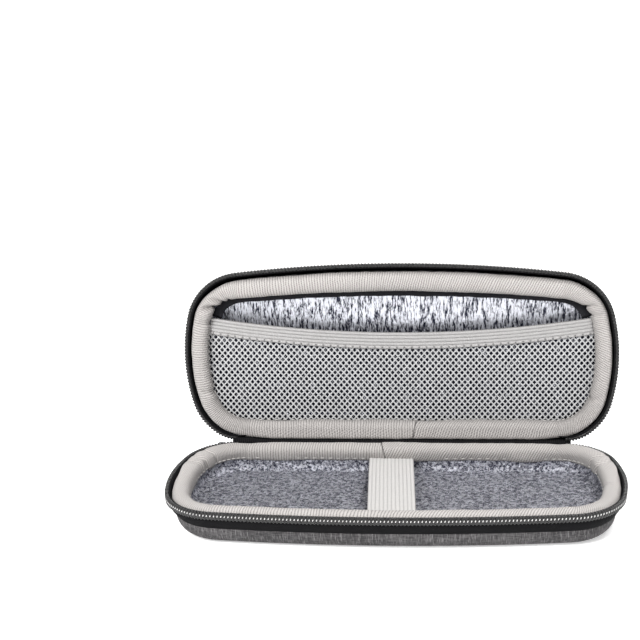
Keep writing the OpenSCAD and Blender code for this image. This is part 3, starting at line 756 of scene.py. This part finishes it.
# Painted shade: the grooves between the ribs and the stitch holes along the lower edge are mixed towards the
# dark colour; the picks and the noise are the band's own tone.
grey_finish = grey_stuff.wear(
    grey_stuff.mix(band_groove * 0.28 + hole * 0.65 + picks * 0.05 + grey_stuff.noise((900, 900, 900)) * 0.25,
                   (0.43, 0.42, 0.415, 1), (0.12, 0.117, 0.117, 1)),
    picks * 0.5 - band_groove * 2 - hole * 2, 0.12 * MM)
bm = bmesh.new()
n = 4 * BAND_RIBS
top = [(i / n, BAND_T - 0.3 * MM * ((1 + cos(2 * pi * i / 4)) / 2) ** 2) for i in range(n + 1)]
outline = [(0, 0.2 * MM)] + top + [(1, 0.2 * MM), (0.99, 0), (0.01, 0)]
ring = chain(bm, [(0, band_centre_y + band_r + share * BAND_W, band_z + h) for share, h in outline])
band_axis = (0, band_centre_y, 0)
bmesh.ops.rotate(bm, verts=bm.verts, cent=band_axis, matrix=Matrix.Rotation(band_turn, 3, "Z"))
bmesh.ops.spin(bm, geom=ring, cent=band_axis, axis=(0, 0, 1), angle=-2 * band_turn, steps=110)
shut(bm)
uv = bm.loops.layers.uv.new("UVMap")
for face in bm.faces:
    for loop in face.loops:
        v = loop.vert.co
        up = band_r + BAND_W - math.hypot(v.x, v.y - band_centre_y)
        loop[uv].uv = (band_r * math.atan2(v.x, v.y - band_centre_y), BAND_W - abs(up))
for vert in bm.verts:
    vert.co.z += noise.noise(Vector((vert.co.x * 40, 0, 1))) * 0.3 * MM
to_lid(bm, "lid")
band = made(bm, "ribbed_pocket_band", grey_finish, "lid")
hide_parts("pocket_band")

# Painted shadow in the lid: a black strip between the binding and the lining, round the front and the corners,
# standing for the shade under the binding's edge. It lies a little puckered.
STRIP_STOP = radians(-17)
strip_section = [(9.6 * MM, 9.5 * MM)] + arc(13.4 * MM, 8.9 * MM, 0.7 * MM, 110, -60, 5)
strip_section += [(11 * MM, 7.9 * MM), (9.6 * MM, 7.9 * MM)]
# Painted shadow: near-black colour with a fine speckle.
painted_shadow = Stuff("painted_shadow_black", Roughness=0.95, Specular_IOR_Level=0.1)
shadow_speckle = painted_shadow.noise((1500, 1500, 1500), 3, 0.7)
painted_shadow_finish = painted_shadow.wear(painted_shadow.mix(shadow_speckle, (0.006, 0.006, 0.008, 1), (0.03, 0.03, 0.034, 1)),
                              shadow_speckle, 0.3 * MM)
bm = carried(strip_section, stop=STRIP_STOP)
bm.normal_update()
for vert in bm.verts:
    vert.co += vert.normal * (noise.noise(vert.co * 200) * 0.5 * MM)
ease_front(bm, "lid", 1)
to_lid(bm, "lid")
made(bm, "lid_dark_edging", painted_shadow_finish, "lid")

# Hinge tape: black tape that joins the two rims inside the fold of the hinge. It is sewn to both skins, and
# folds between the bindings.
HINGE_TAPE_LEFT = 7.5 * MM
HINGE_TAPE_RIGHT = 7 * MM
HINGE_TAPE_STEPS = 40
leg = [(SKIN_INSET, 8.0 * MM), (3.2 * MM, 9.3 * MM), (2.2 * MM, 10.7 * MM), (1.75 * MM, 12.2 * MM),
       (1.7 * MM, 15.7 * MM)]
outer = [Vector((0, spine_y - inset, z)) for inset, z in leg]
inner = [Vector((0, spine_y - inset - 0.5 * MM, z)) for inset, z in leg]
bm = bmesh.new()
tape_low = -corner_x - HINGE_TAPE_LEFT
tape_high = corner_x + HINGE_TAPE_RIGHT
folded = outer + [TO_LID @ p for p in reversed(outer)] + [TO_LID @ p for p in inner] + inner[::-1]
chain(bm, [p + Vector((tape_low, 0, 0)) for p in folded])
bmesh.ops.subdivide_edges(bm, edges=[e for e in bm.edges if e.calc_length() > 1 * MM], cuts=4)
last = bm.verts[:] + bm.edges[:]
for i in range(HINGE_TAPE_STEPS):
    last = drawn(bm, last, Matrix.Translation(((tape_high - tape_low) / HINGE_TAPE_STEPS, 0, 0)))
shut(bm)
for vert in bm.verts:
    inward = 1.3 * MM * smooth((6 * MM - corner_x - vert.co.x) / (5 * MM))
    vert.co += inward * Vector((0, -sin(LID_OPEN / 2), cos(LID_OPEN / 2)))
fold_cloth = Stuff("black_hinge_tape", Roughness=0.85, Specular_IOR_Level=0.05)
fold_finish = black_cloth(fold_cloth, fold_cloth.along(0, "Object"))
fold = made(bm, "folded_hinge_tape", fold_finish, None)
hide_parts("hinge_tape")
TO_LID @ outer[-1]
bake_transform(fold)

# Sleeve: a strip of the shell's heather fabric over the outside of the hinge, sewn to both shells. Its ends
# are folded in and sewn across with white thread.
SLEEVE_END_GAP = 5.8 * MM
SLIDER_LEN = 8.4 * MM
SLEEVE_T = 1.2 * MM
SLEEVE_BOW = 4.6 * MM
SEWN_DEPTH = 11.5 * MM
SEWN_GAP = 0.3 * MM
sewn_inset = SKIN_INSET + EDGE_R - math.sqrt(EDGE_R ** 2 - (EDGE_R - HALF_H + SEWN_DEPTH) ** 2) - SEWN_GAP
hinge_inset = spine_y - hinge.y
sewn_r = math.hypot(sewn_inset - hinge_inset, SEWN_DEPTH)
sewn_angle = math.atan2(-SEWN_DEPTH, hinge_inset - sewn_inset) + LID_OPEN / 2
sleeve_half = corner_x - SLIDER_LEN / 2 - SLEEVE_END_GAP
half_open = Matrix.Translation(hinge) @ Matrix.Rotation(-LID_OPEN / 2, 4, "X")


def on_sleeve(k, lift=0.0):
    """A point of the sleeve's section: k runs from 1 at the base to -1 at the lid."""
    r = SLEEVE_BOW + (sewn_r - SLEEVE_BOW) * k * k + lift
    return half_open @ Vector((0, r * cos(k * sewn_angle), r * sin(k * sewn_angle)))


bm = bmesh.new()
sides = 24
section = [on_sleeve(1 - 2 * i / sides) for i in range(sides + 1)]
section += [on_sleeve(-1 + 2 * i / sides, SLEEVE_T) for i in range(sides + 1)]
last = chain(bm, [p - Vector((sleeve_half, 0, 0)) for p in section])
lengths = 64
for i in range(lengths):
    last = drawn(bm, last, Matrix.Translation((2 * sleeve_half / lengths, 0, 0)))
shut(bm)
bm.normal_update()
for vert in bm.verts:
    from_end = sleeve_half - abs(vert.co.x)
    seam_dip = 0.45 * math.exp(-((from_end - 3 * MM) / (0.8 * MM)) ** 2)
    hem = 0.35 * smooth((7 * MM - from_end) / (2 * MM)) - seam_dip
    share = 0.4 if from_end < 0.1 * MM else 1
    vert.co += vert.normal * (hem + 0.35 * noise.noise(vert.co * 90)) * MM * share
sleeve = made(bm, "hinge_sleeve", heather("sleeve_linen"), None)
bevel = sleeve.modifiers.new("edge", "BEVEL")
bevel.width = 0.3 * MM
bevel.segments = 2
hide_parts("spine_cover")
sleeve_cut = sum((on_sleeve(1 - 2 * i / sides) - on_sleeve(1 - 2 * (i + 1) / sides)).length
                 for i in range(sides))
2 * sleeve_half
on_sleeve(1)
on_sleeve(-1)
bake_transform(sleeve)
bm = bmesh.new()
white_finish = thread("white_thread", 0.4, (0.85, 0.85, 0.84), (0.5, 0.5, 0.5))
for end in (-1, 1):
    for i in range(-4, 5):
        k = i * 0.21
        along = (on_sleeve(k - 0.01, SLEEVE_T) - on_sleeve(k + 0.01, SLEEVE_T)).normalized()
        out = Vector((1, 0, 0)).cross(along)
        turned = Matrix((Vector((1, 0, 0)), along, out)).transposed().to_4x4()
        at = on_sleeve(k, SLEEVE_T - 0.05 * MM) + Vector((end * (sleeve_half - 3 * MM), 0, 0))
        place = Matrix.Translation(at) @ turned
        bmesh.ops.create_icosphere(bm, subdivisions=2, radius=0.5,
                                   matrix=place @ Matrix.Diagonal((0.6 * MM, 2.3 * MM, 0.5 * MM, 1)))
sleeve_thread = made(bm, "sleeve_stitches", white_finish, None)
on_sleeve(1)
on_sleeve(-1)
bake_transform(sleeve_thread)

# Slider and its ring: the slider is cast and powder-coated grey, with a bail for the ring, which is a
# rectangle of black wire. Both are the frame's own solids with their finishes.
coated = Stuff("coated_slider", Metallic=0.7)
speckle = coated.noise((1800, 1800, 1800), 3)
rubbed = coated.noise((300, 300, 300), 3).over(0.6, 0.1)
coated_finish = coated.wear(coated.mix(rubbed * 0.5, (0.10, 0.10, 0.105, 1), (0.32, 0.32, 0.33, 1)),
                            speckle, 0.04 * MM, speckle * 0.2 + 0.3)
wire = Stuff("black_wire", Metallic=0.8)
worn = wire.noise((500, 500, 500), 3)
wire_finish = wire.wear(wire.mix(worn.over(0.6, 0.1) * 0.5, (0.02, 0.02, 0.021, 1), (0.16, 0.16, 0.16, 1)),
                        rough=worn * 0.3 + 0.15)
for node, finish in (("zip_slider", coated_finish), ("puller_ring", wire_finish)):
    slots = bpy.data.objects[node].material_slots
    if not slots:
        bpy.data.objects[node].data.materials.append(finish)
    slots[0].material = finish

# Wrist strap: one loop of herringbone webbing, passed through the ring and laid on the table behind the
# base. It stands on edge at the ring and turns flat as it comes down.
STRAP_ROUTE = [
    (-73.75, 43.75, 11.3), (-78, 44.45, 10.9), (-81.8, 47.05, 9.6), (-84, 51.75, 7.3), (-82.8, 56.85, 4.5),
    (-77.5, 61.45, 2.2), (-68, 64.55, 0.9), (-54, 66.45, 0.6), (-36, 67.55, 0.6), (-16, 68.15, 0.6),
    (4, 68.45, 0.6), (22, 68.45, 0.6), (33, 67.45, 0.6), (38.6, 63.85, 0.6), (38.8, 59.05, 0.6),
    (33.4, 55.45, 0.6), (22, 54.25, 0.6), (4, 54.05, 0.6), (-16, 54.25, 0.6), (-36, 54.65, 0.6),
    (-54, 55.45, 0.6), (-66, 55.85, 0.9), (-74, 54.85, 2.4), (-79.2, 51.85, 5), (-80.4, 48.05, 7.6),
    (-78, 43.65, 10.2), (-73.75, 42.15, 11.3),
]
WEB_W = 6 * MM
WEB_T = 1.0 * MM
PINCH_W = 2.4 * MM
RING_BAR = Vector((-72.83 * MM, 42.95 * MM, 11.3 * MM))
BAIL_Z = 11.3 * MM
points = [Vector(p) * MM for p in STRAP_ROUTE]
route = []
for i in range(len(points) - 1):
    a, b, c, d = points[max(i - 1, 0)], points[i], points[i + 1], points[min(i + 2, len(points) - 1)]
    for step in range(6):
        t = step / 6
        route.append(0.5 * (2 * b + (c - a) * t + (2 * a - 5 * b + 4 * c - d) * t ** 2
                            + (3 * b - a - 3 * c + d) * t ** 3))
route.append(points[-1])
turn_in = [RING_BAR + 0.8 * MM * Vector((cos(radians(a)), sin(radians(a)), 0))
           for a in (-90, -60, -30, 0, 30, 60, 90)]
route += turn_in
away = []
far = 0
for i, p in enumerate(route):
    far += (p - route[max(i - 1, 0)]).length
    away.append(far)
strap_long = far + (route[0] - route[-1]).length
bm = bmesh.new()
along_layer = bm.verts.layers.float.new("along")
across_layer = bm.verts.layers.float.new("across")
outline = [(-0.5, -0.28), (-0.5, 0.28), (-0.46, 0.5), (-0.25, 0.42), (0, 0.46), (0.25, 0.42), (0.46, 0.5),
           (0.5, 0.28), (0.5, -0.28), (0.46, -0.5), (0.25, -0.42), (0, -0.46), (-0.25, -0.42), (-0.46, -0.5)]
stations = []
for i, p in enumerate(route):
    ahead = (route[(i + 1) % len(route)] - route[i - 1]).normalized()
    flat = min(1, max(0, (BAIL_Z - 2 * MM - p.z) / (BAIL_Z - 4 * MM)))
    level = Vector((-ahead.y, ahead.x, 0)).normalized()
    wide = (level * flat + Vector((0, 0, 1)) * (1 - flat)).normalized()
    wide = (wide - ahead * wide.dot(ahead)).normalized()
    from_ring = min(away[i], strap_long - away[i]) if p not in turn_in else 0
    full = PINCH_W + (WEB_W - PINCH_W) * smooth(from_ring / (11 * MM))
    thick = WEB_T * (0.6 + 0.4 * smooth(from_ring / (4 * MM)))
    up = ahead.cross(wide)
    stations.append(Matrix.Translation(p) @ Matrix((wide * full, up * thick, ahead)).transposed().to_4x4())
last = chain(bm, [(x, y, 0) for x, y in outline])
for vert, (x, y) in zip(bm.verts, outline):
    vert[across_layer] = x * WEB_W
bmesh.ops.transform(bm, matrix=stations[0], verts=bm.verts)
for i in range(1, len(stations) + 1):
    last = drawn(bm, last, stations[i % len(stations)] @ stations[i - 1].inverted())
    for vert in [g for g in last if isinstance(g, bmesh.types.BMVert)]:
        vert[along_layer] = away[i] if i < len(away) else strap_long
uv = bm.loops.layers.uv.new("UVMap")
for face in bm.faces:
    for loop in face.loops:
        loop[uv].uv = (loop.vert[along_layer], loop.vert[across_layer])
bmesh.ops.remove_doubles(bm, verts=bm.verts, dist=1e-6)
bmesh.ops.recalc_face_normals(bm, faces=bm.faces)
webbing = Stuff("herringbone_webbing", Roughness=0.85, Sheen_Weight=0.3)
zigzag = (webbing.along(1) / (1.5 * MM)).part() - 0.5
chevron = ((webbing.along(0) + zigzag.size() * (1.6 * MM)) * (2 * pi / (1.0 * MM))).sine()
web_fuzz = webbing.noise((2200, 2200, 2200), 2)
web_finish = webbing.wear(
    webbing.mix((chevron * 0.5 + web_fuzz * 0.5).over(0.25, 0.45),
                (0.018, 0.018, 0.02, 1), (0.10, 0.10, 0.108, 1)),
    chevron + web_fuzz, 0.15 * MM)
wrist = made(bm, "webbing_wrist_strap", web_finish, None)
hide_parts("wrist_strap")
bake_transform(wrist)

# Studio: a pale floor that rises without an edge behind and in front, soft daylight from all round, and
# soft lamps from the front left, from above and on the backdrop. The camera stands where the photograph was
# taken from.
TARGET = Vector((11.5 * MM, 0, 59.2 * MM))
DISTANCE = 483.4 * MM
ELEVATION = radians(18.6)
AZIMUTH = radians(2.47)
ROLL = radians(-0.68)
FRAME_PX = 640
FOCAL_PX = 1204
CENTRE_PX = (423, 378)
camera_data = bpy.data.cameras.new("camera")
camera = bpy.data.objects.new("camera", camera_data)
bpy.context.scene.collection.objects.link(camera)
back = Vector((sin(AZIMUTH) * cos(ELEVATION), -cos(AZIMUTH) * cos(ELEVATION), sin(ELEVATION)))
camera.location = TARGET + back * DISTANCE
level = (-back).to_track_quat("-Z", "Y").to_matrix()
camera.rotation_euler = (level @ Matrix.Rotation(ROLL, 3, "Z")).to_euler()
camera_data.sensor_width = 36
camera_data.lens = 36 * FOCAL_PX / FRAME_PX
camera_data.shift_x = (FRAME_PX / 2 - CENTRE_PX[0]) / FRAME_PX
camera_data.shift_y = (CENTRE_PX[1] - FRAME_PX / 2) / FRAME_PX
bpy.context.scene.camera = camera

world = bpy.data.worlds.new("studio")
bpy.context.scene.world = world
world.use_nodes = True
world.node_tree.nodes["Background"].inputs["Color"].default_value = (1, 1, 1, 1)
world.node_tree.nodes["Background"].inputs["Strength"].default_value = 0.25
# Name, place, point lit, size and power
LAMPS = (
    ("front_lamp", (-0.45, -0.8, 0.85), (0, 0, 0.03), 0.4, 15),
    ("top_lamp", (0.4, 0.0, 1.0), (0, 0, 0.03), 0.5, 10),
    ("backdrop_lamp", (0, 1.2, 2.2), (0, 4.6, 1.2), 2.0, 260),
)
for name, place, at, size, power in LAMPS:
    lamp_data = bpy.data.lights.new(name, "AREA")
    lamp_data.shape = "DISK"
    lamp_data.size = size
    lamp_data.energy = power
    lamp = bpy.data.objects.new(name, lamp_data)
    bpy.context.scene.collection.objects.link(lamp)
    lamp.location = place
    lamp.rotation_euler = (Vector(at) - lamp.location).to_track_quat("-Z", "Y").to_euler()

FLOOR_SIDE = 9
FLOOR_FRONT = -8
FLOOR_BACK = 3
RISE_R = 2
WALL_H = 6
floor_stuff = Stuff("pale_floor", Roughness=0.9, Specular_IOR_Level=0.0, Emission_Color=(1, 1, 1, 1),
                    Emission_Strength=0.45)
floor_finish = floor_stuff.wear(
    floor_stuff.mix(floor_stuff.noise((9, 9, 9)), (0.93, 0.93, 0.93, 1), (0.95, 0.95, 0.95, 1)))
bm = bmesh.new()
front_edge = chain(bm, [(x, FLOOR_FRONT, -0.00003) for x in (-FLOOR_SIDE, FLOOR_SIDE)], closed=False)
back_edge = drawn(bm, front_edge, Matrix.Translation((0, FLOOR_BACK - FLOOR_FRONT, 0)))
for edge, y, turn in ((back_edge, FLOOR_BACK, pi / 2), (front_edge, FLOOR_FRONT, -pi / 2)):
    risen = bmesh.ops.spin(bm, geom=edge, cent=(0, y, RISE_R), axis=(1, 0, 0), angle=turn, steps=24)
    drawn(bm, risen["geom_last"], Matrix.Translation((0, 0, WALL_H)))
floor = made(bm, "floor", floor_finish)
bpy.context.scene.view_settings.view_transform = "Standard"
